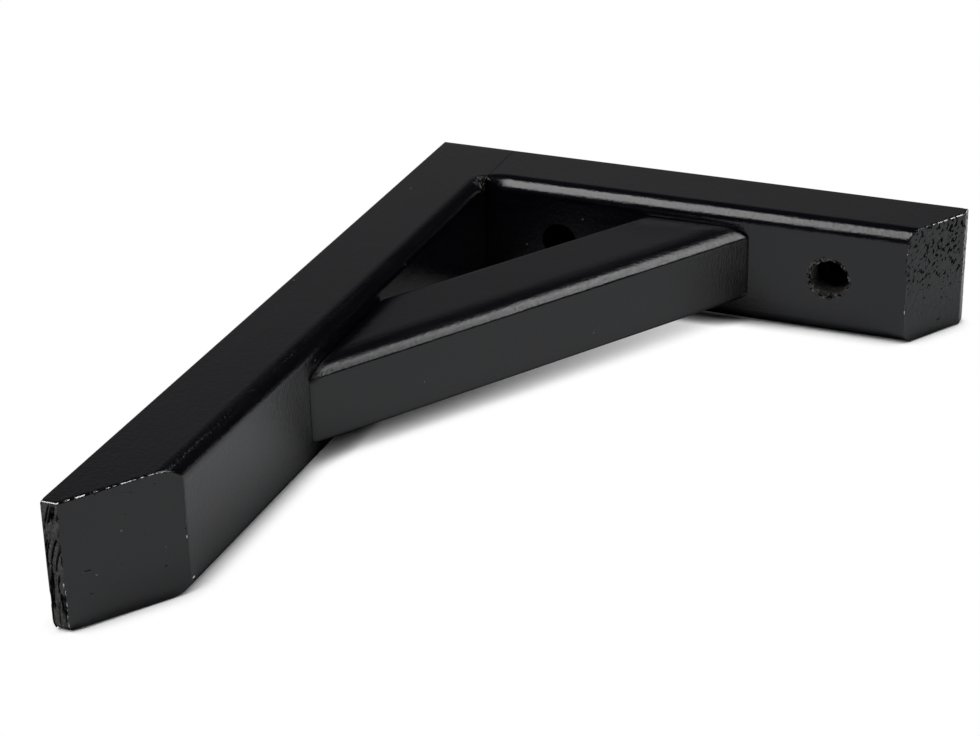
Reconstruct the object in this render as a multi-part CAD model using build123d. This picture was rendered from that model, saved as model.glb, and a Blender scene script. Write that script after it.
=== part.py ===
"""Gallows shelf bracket: three lengths of timber, dowelled and glued into one rigid piece.

X runs out from the wall, along the shelf arm. Y runs along the wall. Z is up.
The origin is the outer corner on the middle plane, where the wall face meets the shelf face.
All sizes are in millimetres and all angles in degrees.
"""

from build123d import *
from math import cos, radians, sin, tan
import os

# Timber of the arm and of the wall leg, planed to one section
timber_thickness = 28.0  # along the wall
timber_depth = 18.5  # square to the shelf face, and to the wall face

# Reach of the bracket
arm_length = 193.5  # wall face to the arm's tip
leg_length = 130.5  # shelf face to the leg's lower end

# Slanted ends, each with a narrow flat left at its tip
arm_tip_flat = 3.5
arm_tip_angle = 35.5
leg_tip_flat = 3.0
leg_tip_angle = 31.5

# Long edges of the arm and the leg
inner_edge_radius = 4.2
outer_edge_radius = 0.4

# Brace, a lighter length of timber set between the two
brace_thickness = 19.0
brace_width = 20.6
brace_angle = 33.4  # from the arm
brace_reach = 117.7  # wall face to the brace's front, on the underside of the arm
brace_front_radius = 4.0
brace_back_radius = 0.6

# Screw holes through the wall leg, sunk for the screw heads
screw_bore_diameter = 5.0
screw_head_diameter = 8.5
screw_head_depth = 7.0
lower_screw_drop = 103.0  # below the shelf face
screw_spacing = 66.0

# Dowels of the three glued joints
dowel_diameter = 6.0
dowel_chamfer = 0.8
dowel_clearance = 0.05  # radial, filled by glue
dowel_glue_gap = 0.5  # beyond each end of a dowel
corner_dowel_depth = 12.0  # into the arm, and into the leg
corner_dowel_spacing = 14.0
brace_dowel_depth = 9.0  # into the brace, and into the timber that carries it
brace_dowel_setback = 10.0  # from the back edge of the brace's end

# Worked out from the sizes above
half_thickness = timber_thickness / 2
arm_underside = -timber_depth
brace_rise = (brace_reach - timber_depth) * tan(radians(brace_angle))
brace_front_on_leg = arm_underside - brace_rise
brace_back_on_leg = brace_front_on_leg + brace_width / cos(radians(brace_angle))
brace_back_on_arm = brace_reach - brace_width / sin(radians(brace_angle))
brace_length = brace_rise / sin(radians(brace_angle))
beyond = 2 * (arm_length + leg_length)  # longer than any cut needs


def slanted_cut(x, z, angle):
    """The space below a plane that passes through (x, z) and climbs outwards at the angle."""
    block = Box(beyond, beyond, beyond, align=(Align.CENTER, Align.CENTER, Align.MAX))
    return Pos(x, 0, z) * Rot(0, -angle, 0) * block


def rounded(solid, is_wanted, radius):
    """The solid with a roundover on each edge whose centre passes the test."""
    return fillet([edge for edge in solid.edges() if is_wanted(edge.center())], radius)


def near(value, target):
    """Whether two coordinates are the same place."""
    return abs(value - target) < 0.01


def on_side_face(point):
    """Whether a point lies on one of the two broad side faces."""
    return near(abs(point.Y), half_thickness)


def jointed_frame():
    """Arm and leg as one L, rounded along its long edges and cut to its slanted ends.

    The roundover is run round the inside of the L after gluing, so the two runs meet on a
    mitre at the inner corner.
    """
    outline = Polyline(
        (0, 0),
        (arm_length, 0),
        (arm_length, arm_underside),
        (timber_depth, arm_underside),
        (timber_depth, -leg_length),
        (0, -leg_length),
        close=True,
    )
    frame = extrude(Plane.XZ * make_face(outline), amount=half_thickness, both=True)
    frame = rounded(
        frame,
        lambda p: on_side_face(p) and (near(p.Z, arm_underside) or near(p.X, timber_depth)),
        inner_edge_radius,
    )
    frame = rounded(
        frame,
        lambda p: on_side_face(p) and (near(p.Z, 0) or near(p.X, 0)),
        outer_edge_radius,
    )
    frame -= slanted_cut(arm_length, -arm_tip_flat, arm_tip_angle)
    frame -= slanted_cut(leg_tip_flat, -leg_length, leg_tip_angle)
    return frame


def dowel(seat, depth):
    """A dowel with chamfered ends, half of it on each side of the glued face at its seat."""
    pin = Cylinder(dowel_diameter / 2, 2 * depth)
    return seat * chamfer(pin.edges().filter_by(GeomType.CIRCLE), dowel_chamfer)


def dowel_socket(seat, depth):
    """The hole that a dowel is glued into, through both sides of its glued face."""
    return seat * Cylinder(dowel_diameter / 2 + dowel_clearance, 2 * (depth + dowel_glue_gap))


def screw_hole(drop):
    """A screw hole through the wall leg at a drop below the shelf face, with its head recess."""
    axis = Pos(0, 0, -drop) * Rot(0, 90, 0)
    bore = Cylinder(screw_bore_diameter / 2, 4 * timber_depth)
    recess = Cylinder(
        screw_head_diameter / 2, 2 * timber_depth, align=(Align.CENTER, Align.CENTER, Align.MIN)
    )
    return axis * bore + axis * Pos(0, 0, timber_depth - screw_head_depth) * recess


def brace_blank():
    """The brace with its ends cut to lie flat on the arm's underside and on the leg."""
    blank = Box(
        2 * brace_length,
        brace_thickness,
        brace_width,
        align=(Align.CENTER, Align.CENTER, Align.MIN),
    )
    runs = blank.edges().filter_by(Axis.X)
    blank = fillet(runs.group_by(Axis.Z)[0], brace_front_radius)
    runs = blank.edges().filter_by(Axis.X)
    blank = fillet(runs.group_by(Axis.Z)[-1], brace_back_radius)
    blank = Pos(brace_reach, 0, arm_underside) * Rot(0, -brace_angle, 0) * blank
    room = Box(beyond, beyond, beyond, align=(Align.MIN, Align.CENTER, Align.MAX))
    return blank & Pos(timber_depth, 0, arm_underside) * room


corner_seats = [
    Location((timber_depth / 2, side * corner_dowel_spacing / 2, arm_underside))
    for side in (-1, 1)
]
arm_end_seat = Location((brace_back_on_arm + brace_dowel_setback, 0, arm_underside))
leg_end_seat = Location((timber_depth, 0, brace_back_on_leg - brace_dowel_setback), (0, 90, 0))


def shelf_arm(frame):
    """The part of the L above the joint plane, with its dowel sockets."""
    arm = split(frame, bisect_by=Plane.XY.offset(arm_underside), keep=Keep.TOP)
    for seat in corner_seats:
        arm -= dowel_socket(seat, corner_dowel_depth)
    return arm - dowel_socket(arm_end_seat, brace_dowel_depth)


def wall_leg(frame):
    """The part of the L below the joint plane, with its dowel sockets and screw holes."""
    leg = split(frame, bisect_by=Plane.XY.offset(arm_underside), keep=Keep.BOTTOM)
    for seat in corner_seats:
        leg -= dowel_socket(seat, corner_dowel_depth)
    leg -= dowel_socket(leg_end_seat, brace_dowel_depth)
    for drop in (lower_screw_drop, lower_screw_drop - screw_spacing):
        leg -= screw_hole(drop)
    return leg


def brace():
    """The diagonal strut, with a dowel socket in each end."""
    strut = brace_blank()
    for seat in (arm_end_seat, leg_end_seat):
        strut -= dowel_socket(seat, brace_dowel_depth)
    return strut


def dowels(seats, depth):
    """Separate dowels of one joint, kept together as one group."""
    return Compound(children=[dowel(seat, depth) for seat in seats])


frame = jointed_frame()
pieces = {
    "shelf_arm": shelf_arm(frame),
    "wall_leg": wall_leg(frame),
    "brace": brace(),
    "corner_dowels": dowels(corner_seats, corner_dowel_depth),
    "brace_dowels": dowels((arm_end_seat, leg_end_seat), brace_dowel_depth),
}

os.makedirs("parts", exist_ok=True)
for name, piece in pieces.items():
    piece.label = name
    export_step(piece, f"parts/{name}.step")
    print(name, "volume", round(piece.volume, 1), "mm3")
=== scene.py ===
"""Looks of a gallows shelf bracket: black painted timber, torn where it was sawn and drilled.

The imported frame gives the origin, the pieces and their boxes. X runs out from the wall along the
arm, Y runs along the wall and Z is up. Every length is in metres. The bracket lies on its side for
its picture, so the table under it is square to Y.
"""

from itertools import product
from math import atan2, cos, pi, radians, sin, tan

import bpy
import numpy as np
from bpy.props import FloatProperty, FloatVectorProperty, PointerProperty
from mathutils import Matrix, Vector


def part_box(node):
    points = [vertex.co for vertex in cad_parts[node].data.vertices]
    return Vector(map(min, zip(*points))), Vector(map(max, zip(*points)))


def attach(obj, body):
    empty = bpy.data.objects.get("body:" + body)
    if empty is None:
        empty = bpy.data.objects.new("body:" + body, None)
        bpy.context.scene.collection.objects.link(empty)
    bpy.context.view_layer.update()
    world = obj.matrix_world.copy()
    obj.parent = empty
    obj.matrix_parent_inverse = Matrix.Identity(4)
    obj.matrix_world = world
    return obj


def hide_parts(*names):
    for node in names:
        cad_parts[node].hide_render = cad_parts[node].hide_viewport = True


bl_info = {
    "name": "Gallows shelf bracket",
    "version": (1, 0, 0),
    "blender": (4, 5, 0),
    "location": "3D View > Sidebar > Bracket",
    "description": "Timber, paint and table of a small painted shelf bracket",
    "category": "Object",
}

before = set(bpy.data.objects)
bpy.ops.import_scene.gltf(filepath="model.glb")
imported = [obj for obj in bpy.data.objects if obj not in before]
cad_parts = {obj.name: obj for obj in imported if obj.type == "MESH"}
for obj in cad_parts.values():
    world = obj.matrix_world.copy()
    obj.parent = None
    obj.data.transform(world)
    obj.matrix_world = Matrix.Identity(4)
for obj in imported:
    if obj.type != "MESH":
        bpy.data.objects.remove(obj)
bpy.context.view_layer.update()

arm_low, arm_high = (Vector(corner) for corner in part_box("shelf_arm"))
leg_low, leg_high = (Vector(corner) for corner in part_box("wall_leg"))
brace_low, brace_high = (Vector(corner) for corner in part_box("brace"))

MM = 0.001
HALF_THICKNESS = arm_high.y
DEPTH = -arm_low.z
ARM_LENGTH = arm_high.x
LEG_LENGTH = -leg_low.z
BRACE_REACH = brace_high.x
BRACE_HALF_THICKNESS = brace_high.y
BRACE_ANGLE = atan2(-DEPTH - brace_low.z, BRACE_REACH - DEPTH)

# Depth of chipped paint, and of the slow waver of every face
CHIP_DEPTH = 0.12 * MM
WANDER_DEPTH = 0.05 * MM

# Where each lamp stands from the bracket, the way its width runs, its width and its height
LAMPS = {
    "Panel": ((0.42, 0.81, 0.41), (0.85, -0.43, 0.0), 1.87, 1.35),
    "Strip": ((-0.318, 0.737, -0.582), (0.38, -0.39, -0.61), 2.3, 0.5),
    "Below": ((0.3, -0.9, 0.3), (1.0, 0.0, 0.0), 1.4, 1.4),
}


def length(name, default_mm, description):
    """A length property, given in millimetres and kept in metres."""
    return FloatProperty(
        name=name,
        description=description,
        default=default_mm * MM,
        min=0.0,
        precision=5,
        subtype="DISTANCE",
        unit="LENGTH",
    )


def angle(name, default_degrees, description):
    """An angle property, given in degrees."""
    return FloatProperty(
        name=name,
        description=description,
        default=radians(default_degrees),
        subtype="ANGLE",
        unit="ROTATION",
    )


def amount(name, default, description, most=1.0):
    """A plain number property from zero up."""
    return FloatProperty(name=name, description=description, default=default, min=0.0, max=most)


def colour(name, default, description):
    """A linear colour property."""
    return FloatVectorProperty(
        name=name,
        description=description,
        default=default,
        size=3,
        min=0.0,
        max=1.0,
        subtype="COLOR",
    )


class BracketTimber(bpy.types.PropertyGroup):
    """Sizes of the timber that its packed boxes don't give."""

    inner_roundover: length("Inner roundover", 3.7, "Radius along the inner edges of arm and leg")
    arm_under_roundover: length("Arm underneath", 2.8, "The same, on the arm's side that lies down")
    leg_under_roundover: length("Leg underneath", 3.4, "The same, on the leg's side that lies down")
    router_bearing: length("Router bearing", 5.2, "Radius of the roundover's turn in the corner")
    outer_easing: length("Outer easing", 0.4, "Radius along the outer edges of arm and leg")
    end_easing: length("End easing", 0.35, "Radius round the painted edges of the sawn ends")
    joint_easing: length("Joint easing", 0.08, "Radius at the edges of the glued faces")
    arm_tip_flat: length("Arm tip flat", 3.5, "Narrow flat left at the arm's tip")
    arm_tip_angle: angle("Arm tip angle", 35.5, "Slant of the cut under the arm's tip")
    leg_tip_flat: length("Leg tip flat", 3.0, "Narrow flat left at the leg's lower end")
    leg_tip_angle: angle("Leg tip angle", 31.5, "Slant of the cut at the leg's lower end")
    brace_width: length("Brace width", 20.6, "Width of the brace, from its front to its back")
    brace_top_roundover: length("Brace side roundover", 7.0, "Reach on the brace's sides")
    brace_front_roundover: length("Brace front roundover", 2.6, "Reach on the brace's front")
    brace_sag: length("Brace sag", 1.2, "How much too low the brace is glued to the arm")
    brace_lean: length("Brace lean", 1.6, "Rise of the brace from the arm to the leg")
    brace_back_easing: length("Brace back easing", 0.6, "Radius along the brace's back edges")
    brace_end_easing: length("Brace end easing", 0.5, "Radius round the brace's glued ends")


class BracketScrews(bpy.types.PropertyGroup):
    """Screw holes through the wall leg."""

    bore_radius: length("Bore radius", 2.5, "Radius of the hole for the screw's shank")
    recess_radius: length("Recess radius", 4.25, "Radius of the recess for the screw's head")
    recess_depth: length("Recess depth", 7.0, "Depth of the recess")
    lower_drop: length("Lower drop", 103.0, "Lower screw hole, below the shelf face")
    spacing: length("Spacing", 66.0, "Distance from the lower screw hole up to the upper one")
    torn_width: length("Torn width", 1.5, "Width of the ring of torn paint round a recess")


class BracketPaint(bpy.types.PropertyGroup):
    """Colours and finish of the paint and of what shows through it."""

    paint_colour: colour("Paint", (0.0011, 0.0012, 0.0026), "Black paint")
    thin_colour: colour("Thin paint", (0.0050, 0.0048, 0.0050), "Paint thinned over raised grain")
    chip_colour: colour("Chipped edge", (0.80, 0.79, 0.76), "Pale filler bared where paint chips")
    torn_colour: colour("Torn wood", (0.270, 0.262, 0.225), "Paint-stained fibres of torn wood")
    # Near black of open pores, which also paints shade into hollows and recesses
    pore_and_shade_colour: colour("Pores", (0.0012, 0.0012, 0.0014), "Open pores of the end grain")
    dust_colour: colour("Dust", (0.20, 0.20, 0.20), "Specks of dust on the paint")
    dowel_colour: colour("Dowel", (0.55, 0.38, 0.22), "Bare beech of the dowels")
    gloss: amount("Roughness", 0.13, "Roughness of sound paint")
    brace_gloss: amount("Brace roughness", 0.17, "Roughness of the brace's paint")


class BracketStudio(bpy.types.PropertyGroup):
    """Table, lamps and room."""

    table_colour: colour("Table", (0.93, 0.93, 0.93), "White table top")
    # Painted shade: the gloss sees the table in this greyer colour, darkened out to the gloom reach
    shaded_mirrored_table: colour("Mirrored table", (0.62, 0.63, 0.64), "Table as the gloss sees it")
    table_gap: length("Table gap", 0.05, "Gap between the table and the bracket's side")
    shadow_reach: length("Shadow reach", 6.0, "How far from the bracket the table keeps its shadow")
    gloom_reach: length("Gloom reach", 40.0, "How far the paint's gloss sees the table darkened")
    panel_radiance: amount("Panel", 5.3, "Brightness of the panel over the leg", 100.0)
    strip_radiance: amount("Strip", 6.2, "Brightness of the strip beside the brace", 100.0)
    below_radiance: amount("Lamp under the table", 2.0, "Brightness of the lamp below", 100.0)
    room_brightness: amount("Room", 0.02, "Brightness of the dim room")
    wall_brightness: amount("Wall", 0.15, "Brightness of the far wall that the upper sides mirror")


def steps(start, end, spacing):
    """Evenly spaced values from start to end, no further apart than the spacing."""
    count = max(1, int(np.ceil(abs(end - start) / spacing - 1e-6)))
    return np.linspace(start, end, count + 1)


def arc_steps(radius, count):
    """Distances in from an edge at even turns round its quarter arc, from zero to the radius."""
    return radius * (1 - np.cos(np.linspace(0, pi / 2, count + 1)))


def in_order(*parts):
    """All the values, once each, from lowest to highest."""
    return np.unique(np.round(np.concatenate(parts), 9))


def from_edge(radius, reach, spacing):
    """Distances in from an edge: four even turns round its arc, and then even steps."""
    return in_order(arc_steps(radius, 4), steps(radius, reach, spacing))


def blends(count, first, last):
    """Stations blended evenly from the first to the last, without the first itself."""
    return np.linspace(0, 1, count)[1:, None] * (last - first) + first


def fall(distance, reach, drop=None):
    """How far a rounded edge has dropped at a distance in from it.

    The edge is a quarter ellipse: drop * (1 - sqrt(1 - (1 - distance / reach)^2)) within the reach,
    and nothing beyond it. It is a quarter circle where the drop is the reach.
    """
    inside = np.clip(1 - distance / reach, 0, 1)
    return (reach if drop is None else drop) * (1 - np.sqrt(1 - inside**2))


def smooth(value, low, high):
    """0 below low and 1 above high, with an eased climb between them."""
    part = np.clip((value - low) / (high - low), 0, 1)
    return part * part * (3 - 2 * part)


def scatter(cells, seed):
    """A repeatable value from -1 to 1 for each lattice cell, mixed from its whole numbers."""
    mixed = (cells * np.array((374761393, 668265263, 1442695041))).sum(axis=-1) + seed * 1274126177
    mixed = mixed & 0xFFFFFFFF
    mixed = ((mixed ^ (mixed >> 13)) * 1274126177) & 0xFFFFFFFF
    mixed = ((mixed ^ (mixed >> 16)) * 668265263) & 0xFFFFFFFF
    return (mixed ^ (mixed >> 15)) / 0xFFFFFFFF * 2 - 1


def lattice_noise(points, cell, seed):
    """Smooth noise from -1 to 1: scattered values at lattice corners, blended by eased weights.

    The cell is the lattice spacing along each axis in millimetres, and a long one draws the noise
    out into fibres.
    """
    where = points / (np.array(cell) * MM)
    corner = np.floor(where).astype(np.int64)
    part = where - corner
    ease = part * part * (3 - 2 * part)
    total = np.zeros(points.shape[:-1])
    for offset in product((0, 1), repeat=3):
        weight = np.where(np.array(offset, bool), ease, 1 - ease).prod(axis=-1)
        total += weight * scatter(corner + np.array(offset), seed)
    return total


def grid_quads(grid, flipped):
    """Quads between neighbouring vertex numbers of a grid, four columns of numbers."""
    quads = np.stack((grid[:-1, :-1], grid[1:, :-1], grid[1:, 1:], grid[:-1, 1:]), axis=-1)
    return quads[..., ::-1] if flipped else quads


def block_sides(shape):
    """Vertex numbers over the outside of a block of lattice points, and its six side grids.

    A point is outside where one of its three running numbers is the first or the last. The side
    square to axis 1 is seen from within by its own two axes, so it turns the other way.
    """
    outside = np.zeros(shape, bool)
    for axis in range(3):
        view = np.moveaxis(outside, axis, 0)
        view[0] = view[-1] = True
    number = np.full(shape, -1)
    number[outside] = np.arange(outside.sum())
    sides = {}
    for axis in range(3):
        for end in (0, -1):
            grid = np.moveaxis(number, axis, 0)[end]
            sides[axis, end] = grid, (end == 0) != (axis == 1)
    return outside, sides


def across_block(x, y, z):
    """Points of a block, from the x and z of its stations and rows and the y of all of it."""
    x = np.broadcast_to(x[..., None], y.shape)
    z = np.broadcast_to(z[..., None], y.shape)
    return np.stack((x, y, z), axis=-1)


def closed_block(points):
    """The points on the outside of a block, and the quads between them."""
    outside, sides = block_sides(points.shape[:-1])
    quads = [grid_quads(grid, flipped).reshape(-1, 4) for grid, flipped in sides.values()]
    return points[outside], np.concatenate(quads)


def facing_out(points, quads):
    """The quads, all turned over if the closed skin has its inside out.

    The volume is the sum of the tetrahedra from the origin to the two triangles of each quad.
    """
    a, b, c, d = (points[quads[:, corner]] for corner in range(4))
    volume = (a * np.cross(b, c)).sum() + (a * np.cross(c, d)).sum()
    return quads if volume > 0 else quads[:, ::-1]


def normals_of(points, quads):
    """Unit normals at the vertices: the crossed diagonals of the quads round each, added up."""
    first = points[quads[:, 2]] - points[quads[:, 0]]
    second = points[quads[:, 3]] - points[quads[:, 1]]
    crossed = np.cross(first, second)
    total = np.zeros_like(points)
    for corner in range(4):
        np.add.at(total, quads[:, corner], crossed)
    return total / np.maximum(np.linalg.norm(total, axis=1, keepdims=True), 1e-20)


def without_loose(points, quads):
    """The points that quads use, and the quads with their new numbers."""
    used, numbers = np.unique(quads, return_inverse=True)
    return points[used], numbers.reshape(quads.shape)


def mesh_object(name, points, quads, attributes):
    """A smooth-shaded mesh object at the origin, with its vertex attributes."""
    sharp_angle = radians(38)
    mesh = bpy.data.meshes.new(name)
    mesh.vertices.add(len(points))
    mesh.vertices.foreach_set("co", points.astype(np.float32).ravel())
    mesh.loops.add(quads.size)
    mesh.loops.foreach_set("vertex_index", quads.astype(np.int32).ravel())
    mesh.polygons.add(len(quads))
    mesh.polygons.foreach_set("loop_start", np.arange(0, quads.size, 4, dtype=np.int32))
    mesh.update(calc_edges=True)
    mesh.polygons.foreach_set("use_smooth", np.ones(len(quads), bool))
    mesh.set_sharp_from_angle(angle=sharp_angle)
    for key, values in attributes.items():
        layer = mesh.attributes.new(key, "FLOAT", "POINT")
        layer.data.foreach_set("value", values.astype(np.float32))
    if mesh.validate():
        raise RuntimeError(f"{name} had faces or vertices that don't fit together")
    piece = bpy.data.objects.new(name, mesh)
    bpy.context.scene.collection.objects.link(piece)
    return piece


def side_limit(x, z, roundover, easing, bearing):
    """Half the thickness of arm or leg at a place on its broad side.

    The inner roundover was cut by a router whose bearing ran along the inner faces. It is measured
    from the bearing's path: sqrt(a^2 + b^2) - bearing, where a and b are the distances back from
    the bearing's centre in the corner, where it turned, and each is at least zero. So the roundover
    turns the corner in an arc and fades out in its depth. The outer easing is measured from the
    nearer outer face.
    """
    back = np.maximum(DEPTH + bearing - x, 0)
    up = np.maximum(z + DEPTH + bearing, 0)
    inner = np.hypot(back, up) - bearing
    outer = np.minimum(x, -z)
    return HALF_THICKNESS - fall(inner, roundover) - fall(outer, easing)


def across_timber(x, z, shrink, columns, under_roundover, timber):
    """Y over a lattice whose last axis runs across the thickness, by shares from -1 to 1.

    Each share is multiplied by the half thickness of its own side, less what the ends shrink it.
    """
    easing, bearing = timber.outer_easing, timber.router_bearing
    upper = side_limit(x, z, timber.inner_roundover, easing, bearing) - shrink
    under = side_limit(x, z, under_roundover, easing, bearing) - shrink
    return np.where(columns > 0, upper[..., None], under[..., None]) * columns


def side_distance(x, y, z, under_roundover, timber):
    """Distance in from the nearer of the two broad sides."""
    roundover = np.where(y > 0, timber.inner_roundover, under_roundover)
    return side_limit(x, z, roundover, timber.outer_easing, timber.router_bearing) - abs(y)


def arm_end_distance(x, z, timber):
    """Distance in from the arm's outer end: from its tip flat or its slanted cut, the nearer."""
    slant = timber.arm_tip_angle
    cut = (z + timber.arm_tip_flat) * cos(slant) + (ARM_LENGTH - x) * sin(slant)
    return np.minimum(ARM_LENGTH - x, cut)


def leg_end_distance(x, z, timber):
    """Distance in from the leg's lower end: from its tip flat or its slanted cut, the nearer."""
    slant = timber.leg_tip_angle
    cut = (z + LEG_LENGTH) * cos(slant) - (x - timber.leg_tip_flat) * sin(slant)
    return np.minimum(LEG_LENGTH + z, cut)


def arm_skin(timber):
    """The arm's skin.

    Stations run along X, rows run up from the underside and columns run across the thickness. A
    station's x is a blend between the wall face, the mitre line x = DEPTH - min(height, radius),
    and the sawn end, whose last stations follow it. Near an end the section shrinks by the fall of
    the end's easing.
    """
    radius = max(timber.inner_roundover, timber.arm_under_roundover)
    flat_row = -timber.arm_tip_flat
    rows = in_order(
        -DEPTH + arc_steps(timber.joint_easing, 1),
        -DEPTH + arc_steps(timber.inner_roundover, 12),
        steps(-DEPTH + timber.inner_roundover, flat_row, 0.24 * MM),
        steps(flat_row, -timber.outer_easing, 0.12 * MM),
        -arc_steps(timber.outer_easing, 4),
    )
    rim = arc_steps(timber.end_easing, 3) / HALF_THICKNESS
    columns = in_order(np.linspace(-1, 1, 97), 1 - rim, rim - 1)
    height = rows + DEPTH
    mitre = DEPTH - np.minimum(height, radius)
    corner_start = DEPTH - radius - 3 * MM
    drop_to_cut = np.maximum(flat_row - rows, 0)
    end = ARM_LENGTH - drop_to_cut / tan(timber.arm_tip_angle)
    along_cut = np.where(rows < flat_row, 1 / sin(timber.arm_tip_angle), 1.0)
    fine_reach = 3.2 * MM
    before_corner = from_edge(timber.outer_easing, corner_start, 1 * MM)
    at_corner = blends(17, corner_start, mitre)
    body_end = end - fine_reach * along_cut
    corner_end = DEPTH + timber.router_bearing + 1 * MM
    past_corner = blends(19, mitre, corner_end)
    body = blends(61, corner_end, body_end)
    fine = from_edge(timber.end_easing, fine_reach, 0.35 * MM)
    at_end = end - fine[::-1][1:, None] * along_cut
    before = np.repeat(before_corner[:, None], len(rows), axis=1)
    x = np.concatenate((before, at_corner, past_corner, body, at_end))
    z = np.broadcast_to(rows, x.shape)
    shrink = fall(np.maximum(arm_end_distance(x, z, timber), 0), timber.end_easing)
    over_leg = smooth(DEPTH - x, 0, 1 * MM)
    seam = fall(z + DEPTH, timber.joint_easing) * over_leg
    middle = -DEPTH / 2
    squeezed = middle + (z - middle) * (1 - 2 * shrink / DEPTH)
    y = across_timber(x, z, shrink + seam, columns, timber.arm_under_roundover, timber)
    return closed_block(across_block(x, y, squeezed))


def border_of(grid, rows, columns):
    """Vertex numbers once round the border of a patch of a grid."""
    patch = grid[rows.start : rows.stop + 1, columns.start : columns.stop + 1]
    return np.concatenate((patch[0, :-1], patch[:-1, -1], patch[-1, :0:-1], patch[:0:-1, 0]))


def screw_hole_rings(border, far_border, drop, screws):
    """Rings of points from the patch on the leg's inner face to the one on its wall face.

    Each ring is a circle round the screw's axis, seen along X: straight lines run in from the
    border of the first patch to the rim, down the recess, in over its floor, through the bore and
    out to the border of the second patch.
    """
    turn = np.arctan2(border[:, 2] + drop, border[:, 1])
    spoke = np.stack((np.zeros_like(turn), np.cos(turn), np.sin(turn)), axis=-1)
    axis_point = np.array((0, 0, -drop))

    def circle(x, radius):
        return axis_point + (x, 0, 0) + spoke * radius

    rim = circle(DEPTH, screws.recess_radius)
    floor_x = DEPTH - screws.recess_depth
    room = np.linalg.norm(border - rim, axis=1).min()
    near = steps(0, screws.torn_width, 0.14 * MM) / room
    shares = in_order(near, np.linspace(near[-1], 1, 6))
    inward = [rim + share * (border - rim) for share in shares[::-1]]
    wall = [circle(x, screws.recess_radius) for x in steps(DEPTH, floor_x, 0.5 * MM)[1:]]
    floor = [
        circle(floor_x, radius)
        for radius in steps(screws.recess_radius, screws.bore_radius, 0.4 * MM)[1:]
    ]
    bore = [circle(x, screws.bore_radius) for x in steps(floor_x, 0, 1 * MM)[1:]]
    out = [bore[-1] + share * (far_border - bore[-1]) for share in np.linspace(0, 1, 7)[1:]]
    return np.array(inward + wall + floor + bore + out)


def leg_skin(timber, screws):
    """The wall leg's skin, with its screw holes.

    Stations run down from the glued face, rows run out from the wall face and columns run across
    the thickness. The last stations follow the sawn end. On the inner face and on the wall face a
    square patch round each screw is left open, and rings join the two borders through the hole.
    """
    radius = timber.inner_roundover
    cell = 0.27 * MM
    rows = in_order(
        from_edge(timber.outer_easing, DEPTH - radius, cell), DEPTH - arc_steps(radius, 12)
    )
    patch_cells = 44
    patch_half = 6 * MM
    upper_share = patch_half / (HALF_THICKNESS - timber.inner_roundover)
    under_share = patch_half / (HALF_THICKNESS - timber.leg_under_roundover)
    rim = arc_steps(timber.end_easing, 3) / HALF_THICKNESS
    columns = in_order(
        np.linspace(0, upper_share, patch_cells // 2 + 1),
        np.linspace(0, -under_share, patch_cells // 2 + 1),
        steps(upper_share, 1, cell / HALF_THICKNESS),
        -steps(under_share, 1, cell / HALF_THICKNESS),
        1 - rim,
        rim - 1,
    )
    drops = (screws.lower_drop - screws.spacing, screws.lower_drop)
    fine_reach = 3 * MM
    cut_rise = np.maximum(rows - timber.leg_tip_flat, 0) * tan(timber.leg_tip_angle)
    end = -LEG_LENGTH + cut_rise
    along_cut = np.where(rows > timber.leg_tip_flat, 1 / cos(timber.leg_tip_angle), 1.0)
    reached = DEPTH + timber.router_bearing + 1 * MM
    straight = [
        DEPTH + arc_steps(timber.joint_easing, 1),
        steps(DEPTH + timber.joint_easing, reached, 0.4 * MM),
    ]
    for drop in drops:
        straight.append(steps(reached, drop - patch_half, 1.6 * MM))
        straight.append(np.linspace(drop - patch_half, drop + patch_half, patch_cells + 1))
        reached = drop + patch_half
    straight = in_order(*straight)
    body_end = end + fine_reach * along_cut
    body = blends(13, -reached, body_end)
    fine = from_edge(timber.end_easing, fine_reach, 0.25 * MM)
    at_end = end + fine[::-1][1:, None] * along_cut
    z = np.concatenate((np.repeat(-straight[:, None], len(rows), axis=1), body, at_end))
    x = np.broadcast_to(rows, z.shape)
    shrink = fall(np.maximum(leg_end_distance(x, z, timber), 0), timber.end_easing)
    shrink = shrink + fall(-z - DEPTH, timber.joint_easing)
    middle = DEPTH / 2
    squeezed = middle + (x - middle) * (1 - 2 * shrink / DEPTH)
    y = across_timber(x, z, shrink, columns, timber.leg_under_roundover, timber)
    outside, sides = block_sides(y.shape)
    points = across_block(squeezed, y, z)[outside]
    first_column = int(np.argmin(abs(columns + under_share)))
    patch_columns = slice(first_column, first_column + patch_cells)
    patches = []
    for drop in drops:
        first = int(np.argmin(abs(straight - (drop - patch_half))))
        patches.append(slice(first, first + patch_cells))
    quads = []
    for (axis, _), (grid, flipped) in sides.items():
        cells = grid_quads(grid, flipped)
        kept = np.ones(cells.shape[:2], bool)
        if axis == 1:
            for patch in patches:
                kept[patch, patch_columns] = False
        quads.append(cells[kept])
    for drop, patch in zip(drops, patches):
        near = border_of(sides[1, -1][0], patch, patch_columns)
        far = border_of(sides[1, 0][0], patch, patch_columns)
        rings = screw_hole_rings(points[near], points[far], drop, screws)
        count = len(near)
        fresh = np.arange((len(rings) - 2) * count).reshape(-1, count) + len(points)
        numbers = np.concatenate((near[None], fresh, far[None]))
        numbers = np.concatenate((numbers, numbers[:, :1]), axis=1)
        points = np.concatenate((points, rings[1:-1].reshape(-1, 3)))
        quads.append(grid_quads(numbers, True).reshape(-1, 4))
    return without_loose(points, np.concatenate(quads))


def brace_place(along, back):
    """The x and z of a place on the brace: along it from the arm, and back from its front."""
    x = BRACE_REACH - along * cos(BRACE_ANGLE) - back * sin(BRACE_ANGLE)
    z = -DEPTH - along * sin(BRACE_ANGLE) + back * cos(BRACE_ANGLE)
    return x, z


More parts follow.
